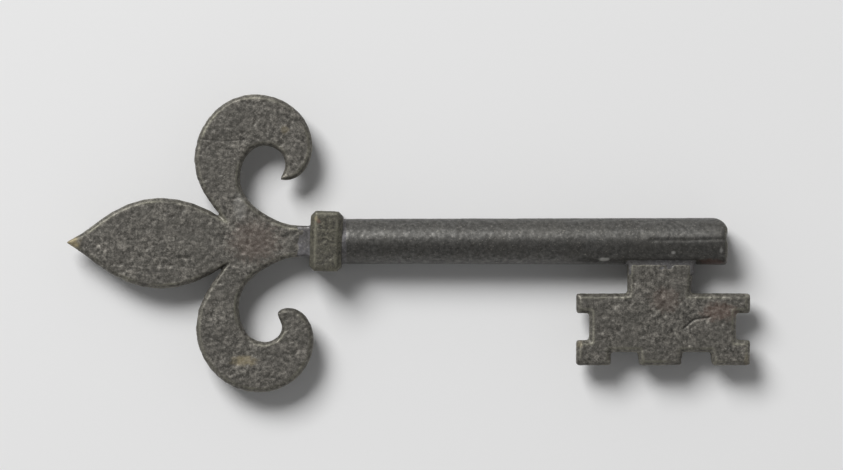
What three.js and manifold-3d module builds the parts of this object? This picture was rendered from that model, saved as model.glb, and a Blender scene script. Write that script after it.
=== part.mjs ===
import * as THREE from 'three';
import { mergeVertices } from 'three/addons/utils/BufferGeometryUtils.js';
import Module from 'manifold-3d';

const wasm = await Module();
wasm.setup();

// Barrel key in millimetres. X runs along the barrel towards the bit, Y across the bow, Z out of the plate.
// The pieces are drawn with X = 0 at the collar's rear face and with Y = Z = 0 on the barrel's axis.

// Room left round each soldered joint
const jointGap = 0.3;

// Bow: a flat plate in the shape of a fleur-de-lis, with a short neck and a round tang
const bowThickness = 4.5;
const bowBevel = 0.8;
const neckWidth = 7.65;
const neckLength = 2.1;
const tangDiameter = 4.2;
const tangLength = 14;
const tangChamfer = 0.5;

// Leaf of the bow, measured from the collar's rear face and from the axis
const leaf = {
  tipReach: 61,
  tipDrop: 0.3,
  crownReach: 37.6,
  upperRise: 10.85,
  lowerDrop: 11.85,
  waistReach: 53.2,
  upperWaist: 4.8,
  lowerWaist: 5.75,
};

// Scrolls of the bow: reach is measured back from the collar's rear face, rise away from the axis.
// The upper one ends in a sharp hook and the lower one in a blunt, rounded nose.
const upperScroll = {
  throatReach: 12.1,
  throatRise: 7.2,
  eyeReach: 17.65,
  eyeMidRise: 15.6,
  eyeCrownReach: 11.4,
  eyeCrownRise: 23.9,
  hookReach: 6.25,
  hookRise: 19.1,
  noseReach: 7.6,
  noseRise: 15.5,
  noseEntry: -117,
  noseExit: -20,
  heelReach: 6.4,
  heelRise: 15.25,
  cheekReach: -0.45,
  cheekRise: 23.9,
  crownReach: 13.8,
  crownRise: 36.7,
  backReach: 29,
  backRise: 20,
  crotchReach: 21.7,
  crotchRise: 5.5,
};
const lowerScroll = {
  throatReach: 12.4,
  throatRise: 7.4,
  eyeReach: 18,
  eyeMidRise: 16.4,
  eyeCrownReach: 11.6,
  eyeCrownRise: 25.2,
  hookReach: 7.1,
  hookRise: 21.3,
  noseReach: 8.3,
  noseRise: 18.25,
  noseEntry: -100,
  noseExit: -80,
  heelReach: 5.7,
  heelRise: 16.65,
  cheekReach: -0.8,
  cheekRise: 24.7,
  crownReach: 12.8,
  crownRise: 37.75,
  backReach: 28.6,
  backRise: 21.5,
  crotchReach: 21.1,
  crotchRise: 5.9,
};

// Collar: a square block, fitted a little out of true
const collarLength = 8;
const collarWidth = 15;
const collarHeight = 13.5;
const collarBevel = 1.2;
const collarTurn = -2;

// Barrel: a round rod, bored from the bit end, with a spigot through the collar
const barrelLength = 95.6;
const barrelRearDiameter = 11.25;
const barrelFrontDiameter = 11.75;
const spigotDiameter = 9;
const boreDiameter = 7;
const boreDepth = 48;
const borePointAngle = 118;
const mouthChamfer = 0.5;
const wornCorner = 3.8;

// Bit: a stepped plate whose web is seated in a flat pocket under the barrel
const bitThickness = 6;
const bitBevel = 0.9;
const bitCorner = 0.6;
const pocketDepth = 1.2;
const webStart = 79.25;
const webFootLength = 16.6;
const webNeckLength = 15.65;
const shoulderDrop = 13.05;
const leftArmReach = 12.8;
const rightArmReach = 14.9;
const upperArmHeight = 4.9;
const notchHeight = 6.75;
const leftNotchDepth = 3.2;
const rightNotchDepth = 3.5;
const lowerArmHeight = 6.25;
const toothDrop = 3.3;
const toothTaper = 0.35;
const leftToothLength = 8.6;
const firstGapLength = 6.8;
const middleToothLength = 11.1;
const secondGapLength = 7.1;

// Solder run into the joints, as coved fillets
const neckFillet = 1.6;
const collarFillet = 0.6;
const bitFillet = 1.6;
const solderEdge = 0.15;

// Finish
const curveSteps = 9;
const roundSteps = 64;
const coveSteps = 5;

// Materials: old brass under a brown-grey patina, and duller solder
function patina(color, roughness, metalness) {
  return new THREE.MeshStandardMaterial({ color, roughness, metalness });
}

// Places along the key. The turned collar leans into its neighbours' room by collarLean.
const collarLean = Math.abs(Math.tan(THREE.MathUtils.degToRad(collarTurn))) * collarWidth / 2;
const neckEnd = -jointGap - collarLean;
const neckStart = neckEnd - neckLength;
const tangEnd = neckEnd + tangLength;
const barrelShoulder = collarLength + jointGap + collarLean;
const barrelMouth = barrelShoulder + barrelLength;

// Outline tools

// One stretch of outline from one heading to another, shaped like an arc: the two handles have the
// length that a circular arc with the same chord and the same turn would give them.
function addStretch(points, from, to) {
  const start = new THREE.Vector2(...from.at);
  const end = new THREE.Vector2(...to.at);
  const turn = THREE.MathUtils.degToRad(Math.abs(wrapDegrees(to.enter - from.leave)));
  const ratio = turn < 0.05 ? 1 / 3 : (2 / 3) * Math.tan(turn / 4) / Math.sin(turn / 2);
  const reach = start.distanceTo(end) * ratio;
  const curve = new THREE.CubicBezierCurve(
    start,
    start.clone().add(heading(from.leave).multiplyScalar(reach)),
    end.clone().sub(heading(to.enter).multiplyScalar(reach)),
    end,
  );
  const steps = Math.max(2, Math.ceil(curveSteps * turn / (Math.PI / 2)));
  points.push(...curve.getPoints(steps).slice(1));
}

function wrapDegrees(angle) {
  return ((angle + 180) % 360 + 360) % 360 - 180;
}

function heading(degrees) {
  const angle = THREE.MathUtils.degToRad(degrees);
  return new THREE.Vector2(Math.cos(angle), Math.sin(angle));
}

// An anchor of the outline: its place, and the headings of the outline before and after it
function anchor(x, y, enter, leave = enter) {
  return { at: [x, y], enter, leave };
}

function traceAnchors(anchors) {
  const points = [];
  anchors.forEach((from, i) => addStretch(points, from, anchors[(i + 1) % anchors.length]));
  return points;
}

// The same run of anchors on the other side of the axis, walked the other way
function mirrorAnchors(anchors) {
  return anchors
    .map(({ at: [x, y], enter, leave }) => anchor(x, -y, 180 - leave, 180 - enter))
    .reverse();
}

// A polygon whose corners are rounded by short arcs
function roundCorners(corners, radius) {
  const points = [];
  corners.forEach((corner, i) => {
    const before = corners[(i + corners.length - 1) % corners.length];
    const after = corners[(i + 1) % corners.length];
    const entry = corner.clone().add(before.clone().sub(corner).setLength(radius));
    const exit = corner.clone().add(after.clone().sub(corner).setLength(radius));
    points.push(...new THREE.QuadraticBezierCurve(entry, corner, exit).getPoints(3));
  });
  return points;
}

// The outline drawn in by a distance that can differ from point to point
function insetOutline(points, distances) {
  const mitreLimit = 1.6;
  return points.map((point, i) => {
    const before = points[(i + points.length - 1) % points.length];
    const after = points[(i + 1) % points.length];
    const entering = point.clone().sub(before).normalize();
    const leaving = after.clone().sub(point).normalize();
    const inward = new THREE.Vector2(-entering.y - leaving.y, entering.x + leaving.x).normalize();
    const half = Math.max(inward.dot(new THREE.Vector2(-entering.y, entering.x)), 1 / mitreLimit);
    return point.clone().add(inward.multiplyScalar(distances[i] / half));
  });
}

// Solid tools

// A closed solid through rings of equal count, capped at both ends by the first and last ring
function loft(rings, place) {
  const count = rings[0].outline.length;
  const positions = [];
  for (const { outline, level } of rings) {
    for (const point of outline) positions.push(...place(point, level));
  }
  const index = [];
  for (let ring = 0; ring < rings.length - 1; ring++) {
    for (let i = 0; i < count; i++) {
      const a = ring * count + i;
      const b = ring * count + (i + 1) % count;
      index.push(a, b, b + count, a, b + count, a + count);
    }
  }
  const last = (rings.length - 1) * count;
  for (const [a, b, c] of THREE.ShapeUtils.triangulateShape(rings[0].outline, [])) index.push(c, b, a);
  for (const [a, b, c] of THREE.ShapeUtils.triangulateShape(rings.at(-1).outline, [])) {
    index.push(a + last, b + last, c + last);
  }
  const geometry = new THREE.BufferGeometry();
  geometry.setAttribute('position', new THREE.Float32BufferAttribute(positions, 3));
  geometry.setIndex(index);
  return geometry;
}

// A plate between two faces that are drawn in by the bevel
function bevelledPlate(outline, face, thickness, bevelDepth, place) {
  const half = thickness / 2;
  return toSolid(loft([
    { outline: face, level: -half },
    { outline, level: bevelDepth - half },
    { outline, level: half - bevelDepth },
    { outline: face, level: half },
  ], place));
}

// Where a point of an outline lies: flat in the plate's plane, across the key, or across the bit's web
const lyingFlat = (point, level) => [point.x, point.y, level];
const acrossKey = (point, level) => [level, point.x, point.y];
const acrossWeb = (point, level) => [point.y, level, point.x];

function toSolid(geometry) {
  const plain = geometry.clone();
  plain.deleteAttribute('normal');
  plain.deleteAttribute('uv');
  const merged = mergeVertices(plain, 1e-5);
  return new wasm.Manifold(new wasm.Mesh({
    numProp: 3,
    vertProperties: merged.attributes.position.array,
    triVerts: new Uint32Array(merged.index.array),
  }));
}

function toGeometry(solid) {
  const mesh = solid.getMesh();
  const geometry = new THREE.BufferGeometry();
  geometry.setAttribute('position', new THREE.BufferAttribute(mesh.vertProperties, 3));
  geometry.setIndex(new THREE.BufferAttribute(mesh.triVerts, 1));
  const faceted = geometry.toNonIndexed();
  faceted.computeVertexNormals();
  return faceted;
}

// A solid of revolution about the barrel's axis, from pairs of place along X and radius
function turned(profile) {
  const points = profile.map(([x, radius]) => new THREE.Vector2(radius, x));
  return toSolid(new THREE.LatheGeometry(points, roundSteps).rotateZ(-Math.PI / 2));
}

function block(lengthX, lengthY, lengthZ, centre) {
  return toSolid(new THREE.BoxGeometry(lengthX, lengthY, lengthZ).translate(...centre));
}

function barrelRadiusAt(x) {
  const share = (x - barrelShoulder) / barrelLength;
  return THREE.MathUtils.lerp(barrelRearDiameter, barrelFrontDiameter, share) / 2;
}

// Bow

// One scroll, from the neck round its eye and nose and back to the crotch beside the leaf
function scrollAnchors(size) {
  return [
    anchor(neckEnd, neckWidth / 2, 90, 180),
    anchor(neckStart, neckWidth / 2, 180),
    anchor(-size.throatReach, size.throatRise, 147),
    anchor(-size.eyeReach, size.eyeMidRise, 90),
    anchor(-size.eyeCrownReach, size.eyeCrownRise, 0),
    anchor(-size.hookReach, size.hookRise, -90),
    anchor(-size.noseReach, size.noseRise, size.noseEntry, size.noseExit),
    anchor(-size.heelReach, size.heelRise, 0),
    anchor(-size.cheekReach, size.cheekRise, 90),
    anchor(-size.crownReach, size.crownRise, 180),
    anchor(-size.backReach, size.backRise, 270),
    anchor(-size.crotchReach, size.crotchRise, -50, 145),
  ];
}

function leafAnchors() {
  return [
    anchor(-leaf.crownReach, leaf.upperRise, 180),
    anchor(-leaf.waistReach, leaf.upperWaist, 218),
    anchor(-leaf.tipReach, -leaf.tipDrop, 206, -29),
    anchor(-leaf.waistReach, -leaf.lowerWaist, -38),
    anchor(-leaf.crownReach, -leaf.lowerDrop, 0),
  ];
}

function bowOutline() {
  return traceAnchors([
    ...scrollAnchors(upperScroll),
    ...leafAnchors(),
    ...mirrorAnchors(scrollAnchors(lowerScroll)),
  ]);
}

// The bevel runs out towards the three points of the bow, where the plate is narrower than two bevels
function bowBevels(outline) {
  const runOut = 0.35;
  const tips = [
    new THREE.Vector2(-leaf.tipReach, -leaf.tipDrop),
    new THREE.Vector2(-upperScroll.noseReach, upperScroll.noseRise),
    new THREE.Vector2(-lowerScroll.noseReach, -lowerScroll.noseRise),
  ];
  return outline.map((point) => {
    const nearest = Math.min(...tips.map((tip) => tip.distanceTo(point)));
    return Math.min(bowBevel, 0.1 + runOut * nearest);
  });
}

function bow() {
  const outline = bowOutline();
  const face = insetOutline(outline, bowBevels(outline));
  const plate = bevelledPlate(outline, face, bowThickness, bowBevel, lyingFlat);
  const tang = turned([
    [neckStart, 0],
    [neckStart, tangDiameter / 2],
    [tangEnd - tangChamfer, tangDiameter / 2],
    [tangEnd, tangDiameter / 2 - tangChamfer],
    [tangEnd, 0],
  ]);
  return plate.add(tang);
}

// Collar

function collar() {
  const edge = rectangle(collarWidth, collarHeight);
  const faceEdge = rectangle(collarWidth - 2 * collarBevel, collarHeight - 2 * collarBevel);
  const outline = roundCorners(edge, collarBevel);
  const face = roundCorners(faceEdge, collarBevel);
  const cube = bevelledPlate(outline, face, collarLength, collarBevel, acrossKey);
  const boreRadius = spigotDiameter / 2 + jointGap;
  const bore = turned([
    [-collarLength, 0],
    [-collarLength, boreRadius],
    [collarLength, boreRadius],
    [collarLength, 0],
  ]);
  return cube.subtract(bore);
}

// Barrel

function barrel() {
  const socketRadius = tangDiameter / 2 + jointGap;
  const socketEnd = tangEnd + jointGap;
  const boreRadius = boreDiameter / 2;
  const pointLength = boreRadius / Math.tan(THREE.MathUtils.degToRad(borePointAngle / 2));
  const boreEnd = barrelMouth - boreDepth;
  const rod = turned([
    [socketEnd, 0],
    [socketEnd, socketRadius],
    [0, socketRadius],
    [0, spigotDiameter / 2],
    [barrelShoulder, spigotDiameter / 2],
    [barrelShoulder, barrelRearDiameter / 2],
    [barrelMouth - mouthChamfer, barrelFrontDiameter / 2],
    [barrelMouth, barrelFrontDiameter / 2 - mouthChamfer],
    [barrelMouth, boreRadius],
    [boreEnd, boreRadius],
    [boreEnd - pointLength, 0],
  ]);
  return rod.subtract(bitPocket()).subtract(wornEnd());
}

// The flat-bottomed pocket in the barrel's underside that takes the foot of the web
function bitPocket() {
  const length = webFootLength + 2 * jointGap;
  const width = bitThickness + 2 * jointGap;
  const top = pocketTop();
  const height = barrelFrontDiameter;
  return block(length, height, width, [webStart + webFootLength / 2, top - height / 2, 0]);
}

function pocketTop() {
  return pocketDepth - barrelRadiusAt(webStart);
}

// The mouth's far corner is worn round, as the outline of a cutter beyond a quarter arc
function wornEnd() {
  const margin = 1;
  const radius = barrelFrontDiameter / 2;
  const shape = new THREE.Shape();
  shape.moveTo(barrelMouth - wornCorner, radius);
  shape.absarc(barrelMouth - wornCorner, radius - wornCorner, wornCorner, Math.PI / 2, 0, true);
  shape.lineTo(barrelMouth + margin, radius - wornCorner);
  shape.lineTo(barrelMouth + margin, radius + margin);
  shape.lineTo(barrelMouth - wornCorner, radius + margin);
  const depth = barrelFrontDiameter + 2 * margin;
  const cutter = new THREE.ExtrudeGeometry(shape, { depth, bevelEnabled: false, curveSegments: curveSteps });
  return toSolid(cutter.translate(0, 0, -depth / 2));
}

// Bit

function bitCorners() {
  const foot = pocketTop() - jointGap;
  const left = webStart - leftArmReach;
  const webEnd = webStart + webNeckLength;
  const right = webEnd + rightArmReach;
  const armBottom = -shoulderDrop - upperArmHeight;
  const notchBottom = armBottom - notchHeight;
  const toothBottom = notchBottom - lowerArmHeight;
  const gapTop = toothBottom + toothDrop;
  const firstGap = left + leftToothLength;
  const middleTooth = firstGap + firstGapLength;
  const secondGap = middleTooth + middleToothLength;
  const rightTooth = secondGap + secondGapLength;
  return [
    [webStart, foot],
    [webStart, -shoulderDrop],
    [left, -shoulderDrop],
    [left, armBottom],
    [left + leftNotchDepth, armBottom],
    [left + leftNotchDepth, notchBottom],
    [left, notchBottom],
    [left, toothBottom],
    [firstGap, toothBottom],
    [firstGap, gapTop],
    [middleTooth, gapTop],
    [middleTooth + toothTaper, toothBottom],
    [secondGap - toothTaper, toothBottom],
    [secondGap, gapTop],
    [rightTooth, gapTop],
    [rightTooth + toothTaper, toothBottom],
    [right, toothBottom],
    [right, notchBottom],
    [right - rightNotchDepth, notchBottom],
    [right - rightNotchDepth, armBottom],
    [right, armBottom],
    [right, -shoulderDrop],
    [webEnd, -shoulderDrop],
    [webStart + webFootLength, foot],
  ].map(([x, y]) => new THREE.Vector2(x, y));
}

function bit() {
  const corners = bitCorners();
  const faceCorners = insetOutline(corners, corners.map(() => bitBevel));
  const outline = roundCorners(corners, bitCorner);
  const face = roundCorners(faceCorners, bitCorner);
  return bevelledPlate(outline, face, bitThickness, bitBevel, lyingFlat);
}

// Solder

// How far a cove still stands off the wall it climbs, from 1 at its root to 0 where it runs out
function cove(share) {
  return 1 - Math.sqrt(1 - (1 - share) ** 2);
}

// A skirt round a rectangular bar, widest at its root and coved down to a thin edge
function skirt(lengthU, lengthV, fillet, root, end, place) {
  const rings = [];
  for (let step = 0; step <= coveSteps; step++) {
    const share = step / coveSteps;
    const grow = 2 * (jointGap + solderEdge + fillet * cove(share));
    const outline = roundCorners(rectangle(lengthU + grow, lengthV + grow), grow / 2);
    rings.push({ outline, level: THREE.MathUtils.lerp(root, end, share) });
  }
  return toSolid(loft(end < root ? rings.reverse() : rings, place));
}

function rectangle(lengthU, lengthV) {
  const [halfU, halfV] = [lengthU / 2, lengthV / 2];
  return [[-halfU, -halfV], [halfU, -halfV], [halfU, halfV], [-halfU, halfV]]
    .map(([u, v]) => new THREE.Vector2(u, v));
}

// Round the neck, from the collar's rear face back along the neck
function neckSolder() {
  const clearWidth = neckWidth + 2 * jointGap;
  const clearThickness = bowThickness + 2 * jointGap;
  return skirt(neckWidth, bowThickness, neckFillet, neckEnd, neckStart, acrossKey)
    .subtract(block(4 * neckLength, clearWidth, clearThickness, [neckStart, 0, 0]));
}

// Round the barrel, in the corner that it makes with the collar's front face
function collarSolder() {
  const inner = barrelRearDiameter / 2 + jointGap;
  const profile = [[barrelShoulder, inner]];
  for (let step = 0; step <= coveSteps; step++) {
    const share = step / coveSteps;
    profile.push([barrelShoulder + collarFillet * share, inner + solderEdge + collarFillet * cove(share)]);
  }
  profile.push([barrelShoulder + collarFillet, inner], [barrelShoulder, inner]);
  return turned(profile);
}

// Round the foot of the web, in the corner that it makes with the barrel
function bitSolder() {
  const foot = barrelRadiusAt(webStart);
  const middle = webStart + webFootLength / 2;
  const around = skirt(bitThickness, webFootLength, bitFillet, bitFillet - foot, -foot - bitFillet, acrossWeb)
    .translate([middle, 0, 0]);
  const clearLength = webFootLength + 2 * jointGap;
  const clearThickness = bitThickness + 2 * jointGap;
  const web = block(clearLength, 4 * foot, clearThickness, [middle, -2 * foot, 0]);
  const clearRadius = barrelRadiusAt(webStart + webFootLength) + jointGap;
  const rod = turned([[0, 0], [0, clearRadius], [barrelMouth, clearRadius], [barrelMouth, 0]]);
  return around.subtract(web).subtract(rod);
}

// The key laid out, with its origin under the middle of its box

function addPiece(group, name, solid, material) {
  const piece = new THREE.Mesh(toGeometry(solid), material);
  piece.name = name;
  group.add(piece);
  return piece;
}

function barrelKey() {
  const key = new THREE.Group();
  addPiece(key, 'bow', bow(), patina(0x5d5a54, 0.6, 0.75));
  const square = addPiece(key, 'collar', collar(), patina(0x555049, 0.6, 0.75));
  square.position.x = collarLength / 2;
  square.rotation.z = THREE.MathUtils.degToRad(collarTurn);
  addPiece(key, 'barrel', barrel(), patina(0x504e4b, 0.5, 0.8));
  addPiece(key, 'bit', bit(), patina(0x5f5b54, 0.6, 0.75));
  addPiece(key, 'neck_solder', neckSolder(), patina(0x6e6b70, 0.55, 0.7));
  addPiece(key, 'collar_solder', collarSolder(), patina(0x5a5858, 0.55, 0.7));
  addPiece(key, 'bit_solder', bitSolder(), patina(0x66635f, 0.55, 0.7));
  const box = new THREE.Box3().setFromObject(key, true);
  const middle = box.getCenter(new THREE.Vector3());
  key.position.set(-middle.x, -middle.y, -box.min.z);
  const root = new THREE.Group();
  root.add(key);
  return root;
}

export default barrelKey();
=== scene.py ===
import math

import bmesh
import bpy
from mathutils import Matrix, Vector, kdtree, noise


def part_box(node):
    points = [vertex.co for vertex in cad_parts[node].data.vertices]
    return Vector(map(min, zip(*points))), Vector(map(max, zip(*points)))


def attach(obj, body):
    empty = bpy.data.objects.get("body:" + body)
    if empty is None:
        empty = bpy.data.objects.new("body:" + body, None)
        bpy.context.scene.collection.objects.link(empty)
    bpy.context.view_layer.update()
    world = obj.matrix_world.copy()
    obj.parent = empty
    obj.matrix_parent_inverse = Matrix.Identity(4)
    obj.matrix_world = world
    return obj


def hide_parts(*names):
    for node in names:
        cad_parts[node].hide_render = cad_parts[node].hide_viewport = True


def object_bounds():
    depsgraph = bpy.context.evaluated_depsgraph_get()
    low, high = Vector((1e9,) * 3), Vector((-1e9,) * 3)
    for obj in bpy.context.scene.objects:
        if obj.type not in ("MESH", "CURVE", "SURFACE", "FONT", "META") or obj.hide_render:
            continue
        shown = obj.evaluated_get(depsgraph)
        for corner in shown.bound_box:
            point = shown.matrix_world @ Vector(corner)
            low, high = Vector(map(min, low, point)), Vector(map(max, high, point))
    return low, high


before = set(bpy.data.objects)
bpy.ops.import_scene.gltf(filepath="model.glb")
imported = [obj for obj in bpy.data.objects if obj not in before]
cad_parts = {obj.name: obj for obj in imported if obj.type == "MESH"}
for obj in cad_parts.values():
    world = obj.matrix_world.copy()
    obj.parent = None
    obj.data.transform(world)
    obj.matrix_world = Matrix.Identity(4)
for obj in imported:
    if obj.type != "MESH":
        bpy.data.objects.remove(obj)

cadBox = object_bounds()  # the CAD model's own box
mm = 0.001

# Places on the key are given in mm from the collar's rear face and the barrel's axis
barrelLow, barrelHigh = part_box("barrel")
keyOrigin = Vector((barrelLow.x, (barrelLow.y + barrelHigh.y) / 2, (barrelLow.z + barrelHigh.z) / 2))

spotMarks = ("brassAndHighlight", "reddish", "pale")
marks = ("wear", *spotMarks, "crackShade")

# Unevenness and wear that all the pieces share, with lengths in mm
ageing = {
    "weld": 0.002,
    "boxClearance": 0.01,  # what the roughened surface keeps inside the CAD box
    "softenStep": 0.5,
    "waveWidth": 9.0,
    "lumpWidth": 2.6,
    "lumpFractal": (1.0, 2.2, 3),  # increment, step between octaves, octaves
    "grainWidth": 0.75,
    "grainShift": (7, 3, 1),  # the shifts set the patterns apart
    "pitWidth": 1.5,
    "pitShift": (31, 5, 9),
    "pitLevel": 0.22,
    "cornerAngle": 0.3,
    "cornerSpacing": 0.35,
    "rubWidth": 3.5,
    "rubShift": (2, 8, 4),
    "rubMean": 0.55,
    "rubSpread": 0.9,
    "crackTilt": 0.2,  # least upward share of a face's normal
    "spotTilt": -0.2,
    "spotRim": 1.25,
    "spotFade": 0.6,
    "spotRagged": 0.45,
    "spotRaggedWidth": 0.9,
}


def onKey(x, y, z=0.0):
    return keyOrigin + Vector((x, y, z)) * mm


def keyPlace(point):
    # seen from above, in mm
    return Vector(((point.x - keyOrigin.x) / mm, (point.y - keyOrigin.y) / mm))


# Shaping

def newObject(name, shape):
    mesh = bpy.data.meshes.new(name)
    shape.to_mesh(mesh)
    shape.free()
    made = bpy.data.objects.new(name, mesh)
    bpy.context.scene.collection.objects.link(made)
    return made


def cornerTree(shape):
    # points along the outward corners, where old metal wears bright
    points = []
    for edge in shape.edges:
        if len(edge.link_faces) == 2 and edge.is_convex and edge.calc_face_angle(0) > ageing["cornerAngle"]:
            start, end = edge.verts[0].co, edge.verts[1].co
            steps = max(1, int((end - start).length / (ageing["cornerSpacing"] * mm)))
            points += [start.lerp(end, step / steps) for step in range(steps + 1)]
    tree = kdtree.KDTree(len(points))
    for number, point in enumerate(points):
        tree.insert(point, number)
    tree.balance()
    return tree


def denseShape(shape, name, voxel):
    # even small faces all over, as Blender's voxel remesh makes them
    coarse = newObject(name + "Coarse", shape)
    coarseMesh = coarse.data
    remesh = coarse.modifiers.new("even", "REMESH")
    remesh.mode = "VOXEL"
    remesh.voxel_size = voxel * mm
    graph = bpy.context.evaluated_depsgraph_get()
    dense = bmesh.new()
    dense.from_mesh(coarse.evaluated_get(graph).to_mesh())
    bpy.data.objects.remove(coarse)
    bpy.data.meshes.remove(coarseMesh)
    return dense


def addBar(shape, low, high):
    # a block between two places on the key
    centre = (onKey(*low) + onKey(*high)) / 2
    made = bmesh.ops.create_cube(shape, size=1.0)["verts"]
    bmesh.ops.scale(shape, verts=made, vec=(Vector(high) - Vector(low)) * mm)
    bmesh.ops.translate(shape, verts=made, vec=centre)


def addRod(shape, start, end, radius, sides=72):
    # a round rod along the barrel's axis
    made = bmesh.ops.create_cone(
        shape,
        segments=sides,
        radius1=radius * mm,
        radius2=radius * mm,
        depth=(end - start) * mm,
        cap_ends=True,
    )["verts"]
    bmesh.ops.rotate(shape, verts=made, cent=(0, 0, 0), matrix=Matrix.Rotation(math.pi / 2, 3, "Y"))
    bmesh.ops.translate(shape, verts=made, vec=onKey((start + end) / 2, 0))


def solderShape(look):
    # bars and rods that the remesh runs together, with their ends inside the pieces they join
    shape = bmesh.new()
    for low, high in look["bars"]:
        addBar(shape, low, high)
    for start, end, radius in look.get("rods", []):
        addRod(shape, start, end, radius)
    return shape


def nodeShape(node):
    # a merged copy of the CAD node
    shape = bmesh.new()
    shape.from_mesh(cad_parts[node].data)
    bmesh.ops.remove_doubles(shape, verts=shape.verts, dist=ageing["weld"] * mm)
    bmesh.ops.recalc_face_normals(shape, faces=shape.faces)
    return shape


# Ageing

def unevenness(point, look):
    # how far a place stands off the smooth form, in mm
    grainPoint = point / (ageing["grainWidth"] * mm) + Vector(ageing["grainShift"])
    pitPoint = point / (ageing["pitWidth"] * mm) + Vector(ageing["pitShift"])
    wave = noise.noise(point / (ageing["waveWidth"] * mm)) * look["wave"]
    lump = noise.fractal(point / (ageing["lumpWidth"] * mm), *ageing["lumpFractal"]) * look["lump"]
    grain = noise.noise(grainPoint) * look["grain"]
    pit = max(0.0, noise.noise(pitPoint) - ageing["pitLevel"]) * look["pit"]
    return wave + lump + grain - pit


def nearLine(point, line):
    # distance in mm, seen from above, to a line of places on the key
    best = math.inf
    flat = keyPlace(point)
    for start, end in zip(line[:-1], line[1:]):
        a, b = Vector(start), Vector(end)
        share = max(0.0, min(1.0, (flat - a).dot(b - a) / (b - a).length_squared))
        best = min(best, (flat - a.lerp(b, share)).length)
    return best


def cracksAt(point, look):
    # how deep the cracks are at a place, in mm, and how dark the painted shade in them is
    depth = dark = 0.0
    for crack in look.get("cracks", []):
        share = max(0.0, 1 - nearLine(point, crack["line"]) / crack["width"])
        depth += share * crack["depth"]
        dark = max(dark, share * crack.get("dark", 1.0))
    return depth, dark


def dentsAt(point, look):
    depth = 0.0
    for dent in look.get("dents", []):
        reach = (point - onKey(*dent["at"])).length / (dent["radius"] * mm)
        depth += dent["depth"] * max(0.0, 1 - reach * reach) ** 2
    return depth


def rubbedAt(point, corners, look):
    # up to 1 on a worn outward corner, more in some stretches than in others
    rubPoint = point / (ageing["rubWidth"] * mm) + Vector(ageing["rubShift"])
    rub = max(0.0, 1 - corners.find(point)[2] / mm / look["rimWidth"])
    rub *= ageing["rubMean"] + ageing["rubSpread"] * noise.noise(rubPoint)
    return max(0.0, min(1.0, rub))


def spotAt(point, spot):
    # 1 in the middle of a spot and 0 outside it, with a ragged rim
    place = keyPlace(point)
    across, along = spot["size"]
    reach = math.hypot((place.x - spot["at"][0]) / across, (place.y - spot["at"][1]) / along)
    ragged = reach + ageing["spotRagged"] * noise.noise(point / (ageing["spotRaggedWidth"] * mm))
    inside = (ageing["spotRim"] - ragged) / ageing["spotFade"]
    return max(0.0, min(1.0, inside)) * spot.get("strength", 1.0)


def agedPiece(node, name, look):
    # an even, softened shape, roughened like an old casting and marked for its paint
    shape = solderShape(look) if "bars" in look else nodeShape(node)
    corners = cornerTree(shape)
    dense = denseShape(shape, name, look["voxel"])
    for turn in range(look["soften"]):
        bmesh.ops.smooth_vert(
            dense,
            verts=dense.verts,
            factor=ageing["softenStep"],
            use_axis_x=True,
            use_axis_y=True,
            use_axis_z=True,
        )
    dense.normal_update()
    layers = {mark: dense.verts.layers.float.new(mark) for mark in marks}
    clearance = Vector((1, 1, 1)) * ageing["boxClearance"] * mm
    low, high = Vector(cadBox[0]) + clearance, Vector(cadBox[1]) - clearance
    for vert in dense.verts:
        point, normal = vert.co.copy(), vert.normal.copy()
        depth, dark = cracksAt(point, look) if normal.z > ageing["crackTilt"] else (0.0, 0.0)
        height = unevenness(point, look) - depth - dentsAt(point, look)
        vert[layers["wear"]] = rubbedAt(point, corners, look)
        # painted shade: the cracks, the barrel's seam and the bow's notch are darkened in colour
        vert[layers["crackShade"]] = dark
        for mark in spotMarks:
            spots = look.get(mark, []) if normal.z > ageing["spotTilt"] else []
            vert[layers[mark]] = max((spotAt(point, spot) for spot in spots), default=0.0)
        moved = point + normal * height * mm
        vert.co = [min(max(moved[axis], low[axis]), high[axis]) for axis in range(3)]
    bmesh.ops.recalc_face_normals(dense, faces=dense.faces)
    for face in dense.faces:
        face.smooth = True
    piece = newObject(name, dense)
    print(f"{name}: {len(piece.data.polygons)} faces")
    return piece


# Materials

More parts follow.
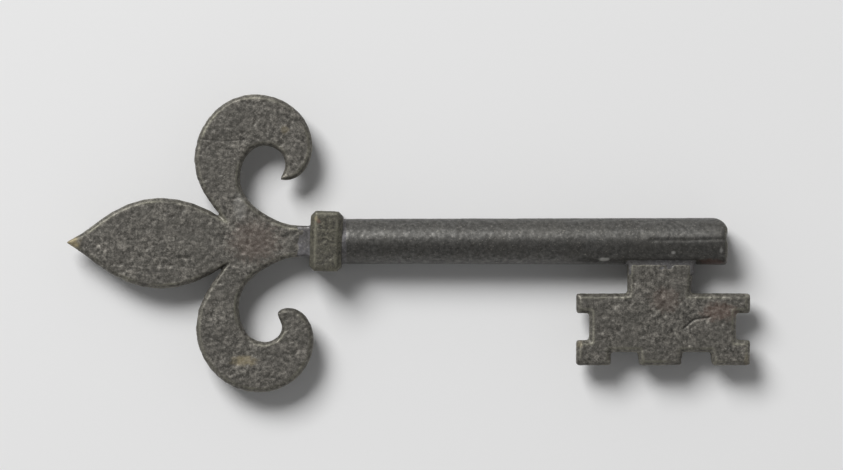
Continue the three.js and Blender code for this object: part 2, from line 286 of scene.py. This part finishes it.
class Nodes:
    # short hands for laying out a material's nodes
    def __init__(self, name):
        self.material = bpy.data.materials.new(name)
        self.material.use_nodes = True
        self.tree = self.material.node_tree
        self.shader = self.tree.nodes["Principled BSDF"]
        self.place = self.add("ShaderNodeTexCoord").outputs["Object"]

    def add(self, kind, **values):
        node = self.tree.nodes.new(kind)
        for key, value in values.items():
            setattr(node, key, value)
        return node

    def link(self, output, socket):
        self.tree.links.new(output, socket)

    def noise(self, size, detail, roughness):
        # size is the pattern's grain in mm
        texture = self.add("ShaderNodeTexNoise")
        texture.inputs["Scale"].default_value = 1 / (size * mm)
        texture.inputs["Detail"].default_value = detail
        texture.inputs["Roughness"].default_value = roughness
        self.link(self.place, texture.inputs["Vector"])
        return texture.outputs["Fac"]

    def ramp(self, factor, stops):
        node = self.add("ShaderNodeValToRGB")
        ramp = node.color_ramp
        while len(ramp.elements) < len(stops):
            ramp.elements.new(0.5)
        for element, (position, color) in zip(ramp.elements, stops):
            element.position = position
            element.color = (*color, 1)
        self.link(factor, node.inputs["Fac"])
        return node.outputs["Color"]

    def rangeOf(self, factor, fromRange, toRange):
        node = self.add("ShaderNodeMapRange")
        for key, value in zip(("From Min", "From Max", "To Min", "To Max"), (*fromRange, *toRange)):
            node.inputs[key].default_value = value
        self.link(factor, node.inputs["Value"])
        return node.outputs["Result"]

    def mix(self, factor, base, color):
        node = self.add("ShaderNodeMix", data_type="RGBA")
        self.link(factor, node.inputs["Factor"])
        self.link(base, node.inputs["A"])
        node.inputs["B"].default_value = (*color, 1)
        return node.outputs["Result"]

    def painted(self, mark, strength):
        # a mark's own strength at each place on the piece
        node = self.add("ShaderNodeMath", operation="MULTIPLY")
        self.link(self.add("ShaderNodeAttribute", attribute_name=mark).outputs["Fac"], node.inputs[0])
        node.inputs[1].default_value = strength
        return node.outputs["Value"]

    def bump(self, height, depth, strength, normal=None):
        node = self.add("ShaderNodeBump")
        node.inputs["Distance"].default_value = depth * mm
        node.inputs["Strength"].default_value = strength
        self.link(height, node.inputs["Height"])
        if normal:
            self.link(normal, node.inputs["Normal"])
        return node.outputs["Normal"]


def patina(name, finish):
    # brown-grey tarnish over brass: mottled, darker in cracks where shade is painted in, brighter where it is
    # rubbed
    nodes = Nodes(name)
    grain = nodes.noise(*finish["grain"])
    color = nodes.ramp(grain, list(zip(finish["tonesAt"], finish["tones"])))
    cloud = nodes.rangeOf(nodes.noise(*finish["cloud"]), finish["cloudRange"], (0.0, finish["cloudStrength"]))
    color = nodes.mix(cloud, color, finish["cloudColor"])
    speck = nodes.rangeOf(nodes.noise(*finish["speck"]), finish["speckRange"], (0.0, finish["speckStrength"]))
    color = nodes.mix(speck, color, finish["speckColor"])
    for mark, (markColor, strength) in markPaint.items():
        color = nodes.mix(nodes.painted(mark, strength), color, markColor)
    nodes.link(color, nodes.shader.inputs["Base Color"])
    nodes.shader.inputs["Metallic"].default_value = finish["metallic"]
    roughness = nodes.rangeOf(grain, finish["roughnessRange"], finish["roughness"])
    nodes.link(roughness, nodes.shader.inputs["Roughness"])
    fine = nodes.bump(nodes.noise(*finish["fine"]), finish["fineDepth"], finish["fineBump"])
    bumped = nodes.bump(grain, finish["grainDepth"], finish["grainBump"], fine)
    nodes.link(bumped, nodes.shader.inputs["Normal"])
    return nodes.material


# colour and strength of each painted mark
markPaint = {
    "wear": ((0.33, 0.32, 0.24), 0.4),
    # painted shade laid along the cracks, the barrel's seam and the notch between the bow's leaf and scroll
    "crackShade": ((0.018, 0.017, 0.015), 0.85),
    # brass showing through the tarnish on the bow and bit, and a painted highlight on the collar's corner
    "brassAndHighlight": ((0.34, 0.28, 0.16), 0.6),
    "reddish": ((0.19, 0.10, 0.075), 0.6),
    "pale": ((0.60, 0.59, 0.56), 0.85),
}

# Grain, cloud, speck and fine are each a size in mm, a detail and a roughness
castFinish = {
    "grain": (0.85, 5.0, 0.7),
    "tonesAt": (0.34, 0.5, 0.66),
    "tones": [(0.030, 0.028, 0.024), (0.112, 0.105, 0.092), (0.28, 0.262, 0.230)],
    "cloud": (7.0, 3.0, 0.6),
    "cloudRange": (0.38, 0.62),
    "cloudStrength": 0.45,
    "cloudColor": (0.085, 0.080, 0.070),
    "speck": (0.42, 2.0, 0.5),
    "speckRange": (0.62, 0.74),
    "speckStrength": 0.5,
    "speckColor": (0.34, 0.32, 0.28),
    "metallic": 0.55,
    "roughnessRange": (0.3, 0.7),
    "roughness": (0.62, 0.46),
    "grainDepth": 0.14,
    "grainBump": 0.55,
    "fine": (0.3, 3.0, 0.6),
    "fineDepth": 0.05,
    "fineBump": 0.35,
}
collarFinish = dict(
    castFinish,
    grain=(0.9, 5.0, 0.7),
    tones=[(0.030, 0.028, 0.024), (0.085, 0.080, 0.062), (0.18, 0.17, 0.13)],
)
barrelFinish = dict(
    castFinish,
    grain=(1.0, 5.0, 0.7),
    tones=[(0.050, 0.049, 0.046), (0.088, 0.086, 0.081), (0.15, 0.147, 0.138)],
    cloudStrength=0.3,
    metallic=0.7,
    roughness=(0.52, 0.40),
    grainBump=0.25,
    fineBump=0.2,
)
solderFinish = dict(
    castFinish,
    grain=(0.8, 5.0, 0.7),
    tones=[(0.072, 0.070, 0.072), (0.125, 0.121, 0.125), (0.20, 0.194, 0.200)],
    roughness=(0.56, 0.44),
    grainBump=0.3,
)

# Pieces

# In each look, wave, lump, grain and pit are heights in mm, and soften counts smoothing turns
bowLook = {
    "voxel": 0.28,
    "soften": 3,
    "wave": 0.07,
    "lump": 0.05,
    "grain": 0.045,
    "pit": 0.30,
    "rimWidth": 0.55,
    # each crack's dark share is painted shade; the third line is the notch between leaf and lower scroll, at
    # full darkness
    "cracks": [
        {"line": [(-27.6, 25.6), (-22, 25.0), (-16.4, 25.4)], "width": 0.35, "depth": 0.12, "dark": 0.7},
        {"line": [(-26, -23.4), (-23.4, -24.6), (-21.4, -26)], "width": 0.4, "depth": 0.12, "dark": 0.7},
        {"line": [(-24.9, -8.7), (-22.3, -6.9), (-20.6, -5.6)], "width": 0.5, "depth": 0.35},
    ],
    "brassAndHighlight": [
        {"at": (-59.6, -0.4), "size": (2.0, 1.6)},
        {"at": (-16.6, -29.8), "size": (3.0, 1.2), "strength": 0.75},
        {"at": (-6.4, 27.8), "size": (1.0, 1.0), "strength": 0.35},
    ],
    "pale": [{"at": (-17.6, 8.8), "size": (1.6, 3.6), "strength": 0.16}],
    "reddish": [{"at": (-14, 0), "size": (6, 5), "strength": 0.25}],
}

collarLook = {
    "voxel": 0.2,
    "soften": 3,
    "wave": 0.05,
    "lump": 0.04,
    "grain": 0.03,
    "pit": 0.15,
    "rimWidth": 0.9,
    # painted highlight in the corner where the collar's lit top and left bevels meet
    "brassAndHighlight": [{"at": (1.5, 5.7), "size": (0.5, 0.7), "strength": 0.6}],
    "reddish": [{"at": (2.2, 5.1), "size": (0.5, 0.6), "strength": 0.8}],
}

barrelLook = {
    "voxel": 0.28,
    "soften": 7,
    "wave": 0.06,
    "lump": 0.025,
    "grain": 0.018,
    "pit": 0.09,
    "rimWidth": 0.5,
    # the seam's dark share is painted shade
    "cracks": [{"line": [(84.9, 0.35), (95, 0.3), (104.2, 0.6)], "width": 0.7, "depth": 0.12, "dark": 0.45}],
    "dents": [{"at": (104.4, 1.2, 5.0), "radius": 2.2, "depth": 0.5}],
    "pale": [
        {"at": (73.2, -4.5), "size": (1.3, 0.45), "strength": 0.9},
        {"at": (90.5, -2.8), "size": (0.5, 0.4), "strength": 0.6},
        {"at": (102.4, -2.2), "size": (0.35, 0.7), "strength": 0.5},
    ],
    "reddish": [{"at": (100, -5.2), "size": (3.2, 0.8), "strength": 0.7}],
}

bitLook = {
    "voxel": 0.25,
    "soften": 4,
    "wave": 0.08,
    "lump": 0.05,
    "grain": 0.045,
    "pit": 0.28,
    "rimWidth": 0.6,
    # the crack's dark share is painted shade, at full darkness
    "cracks": [
        {"line": [(93.1, -21.7), (94.9, -20.2), (95.9, -19.4), (99.6, -18.9)], "width": 0.4, "depth": 0.2},
    ],
    "brassAndHighlight": [
        {"at": (67.2, -25.6), "size": (0.8, 1.0), "strength": 0.3},
        {"at": (108.8, -29.5), "size": (0.6, 1.4), "strength": 0.3},
    ],
    "reddish": [
        {"at": (102, -17.6), "size": (4.2, 2.2), "strength": 0.45},
        {"at": (88.5, -14.5), "size": (3.5, 3.0), "strength": 0.25},
    ],
    "pale": [{"at": (89.8, -6.3), "size": (0.9, 0.2), "strength": 0.8}],
}

# Bars run between two corners, and rods are start, end and radius along the axis
solderLook = {
    "voxel": 0.2,
    "soften": 22,
    "wave": 0.05,
    "lump": 0.04,
    "grain": 0.02,
    "pit": 0.05,
    "rimWidth": 0.01,
}
neckSolderLook = dict(
    solderLook,
    bars=[((-3.4, -3.82, -2.26), (0.8, 3.82, 2.26)), ((0.15, -6.0, -5.2), (1.8, 6.0, 5.2))],
)
collarSolderLook = dict(
    solderLook,
    bars=[((6.2, -6.2, -5.4), (7.9, 6.2, 5.4))],
    rods=[(6.6, 9.9, 5.6)],
)
bitSolderLook = dict(
    solderLook,
    soften=34,
    bars=[((79.35, -8.6, -2.95), (95.7, -3.0, 2.95))],
    rods=[(78.2, 96.8, 5.68)],
)

# CAD node, piece, look, finish and material slot
pieceTable = [
    ("bow", "agedBow", bowLook, castFinish, "bow_patina"),
    ("collar", "agedCollar", collarLook, collarFinish, "collar_patina"),
    ("barrel", "agedBarrel", barrelLook, barrelFinish, "barrel_patina"),
    ("bit", "agedBit", bitLook, castFinish, "bit_patina"),
    ("neck_solder", "neckSolder", neckSolderLook, solderFinish, "solder"),
    ("collar_solder", "collarSolder", collarSolderLook, solderFinish, "solder"),
    ("bit_solder", "bitSolder", bitSolderLook, solderFinish, "solder"),
]


def buildKey():
    for node, name, look, finish, slot in pieceTable:
        piece = agedPiece(node, name, look)
        piece.data.materials.append(patina(name + "Patina", finish))
        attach(piece, "root")
        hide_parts(node)


# Stage

paperSheet = {
    "size": 3.0,
    "color": (0.80, 0.80, 0.80),
    "roughness": 0.9,
    "specular": 0.1,
}


def buildPaper():
    shape = bmesh.new()
    bmesh.ops.create_grid(shape, x_segments=2, y_segments=2, size=paperSheet["size"] / 2)
    bmesh.ops.translate(shape, verts=shape.verts, vec=(0, 0, cadBox[0][2]))
    paper = newObject("paper", shape)
    material = bpy.data.materials.new("palePaper")
    material.use_nodes = True
    shader = material.node_tree.nodes["Principled BSDF"]
    shader.inputs["Base Color"].default_value = (*paperSheet["color"], 1)
    shader.inputs["Roughness"].default_value = paperSheet["roughness"]
    shader.inputs["Specular IOR Level"].default_value = paperSheet["specular"]
    paper.data.materials.append(material)


studio = {
    "horizonStrength": 0.62,
    "overheadStrength": 0.10,
    "overheadFrom": 0.85,  # the height in a direction from which the ceiling is at its dimmest
    "windowFrom": (-1.05, 1.55, 2.0),
    "windowSize": 1.3,
    "windowEnergy": 78.0,
}


def buildRoom():
    # a dim ceiling and paler walls
    world = bpy.data.worlds.new("studio")
    world.use_nodes = True
    tree = world.node_tree
    direction = tree.nodes.new("ShaderNodeTexCoord").outputs["Generated"]
    parts = tree.nodes.new("ShaderNodeSeparateXYZ")
    height = tree.nodes.new("ShaderNodeMapRange")
    height.inputs["From Min"].default_value = 0.0
    height.inputs["From Max"].default_value = studio["overheadFrom"]
    height.inputs["To Min"].default_value = studio["horizonStrength"]
    height.inputs["To Max"].default_value = studio["overheadStrength"]
    tree.links.new(direction, parts.inputs["Vector"])
    tree.links.new(parts.outputs["Z"], height.inputs["Value"])
    background = tree.nodes["Background"]
    background.inputs["Color"].default_value = (1, 1, 1, 1)
    tree.links.new(height.outputs["Result"], background.inputs["Strength"])
    bpy.context.scene.world = world


def buildWindow():
    # one soft window at the upper left
    light = bpy.data.lights.new("softWindow", "AREA")
    light.shape = "SQUARE"
    light.size = studio["windowSize"]
    light.energy = studio["windowEnergy"]
    window = bpy.data.objects.new("softWindow", light)
    window.location = studio["windowFrom"]
    window.rotation_euler = Vector(studio["windowFrom"]).to_track_quat("Z", "Y").to_euler()
    bpy.context.scene.collection.objects.link(window)


overhead = {
    "widthPx": 843,
    "mmPerPx": 0.25,
    "centre": (27.75, 1.575),  # the place on the key under the picture's middle
    "lens": 200.0,
    "sensor": 36.0,
    "clipEnd": 20.0,
}


def buildCamera():
    camera = bpy.data.cameras.new("overhead")
    camera.lens = overhead["lens"]
    camera.sensor_width = overhead["sensor"]
    camera.clip_end = overhead["clipEnd"]
    width = overhead["widthPx"] * overhead["mmPerPx"] * mm
    distance = width * overhead["lens"] / overhead["sensor"]
    cameraObject = bpy.data.objects.new("overhead", camera)
    cameraObject.location = onKey(*overhead["centre"]) + Vector((0, 0, distance))
    bpy.context.scene.collection.objects.link(cameraObject)
    bpy.context.scene.camera = cameraObject


buildCamera()
buildPaper()
buildRoom()
buildWindow()
print("stage set")
buildKey()
print("key built")

bpy.context.scene.view_settings.view_transform = "Standard"
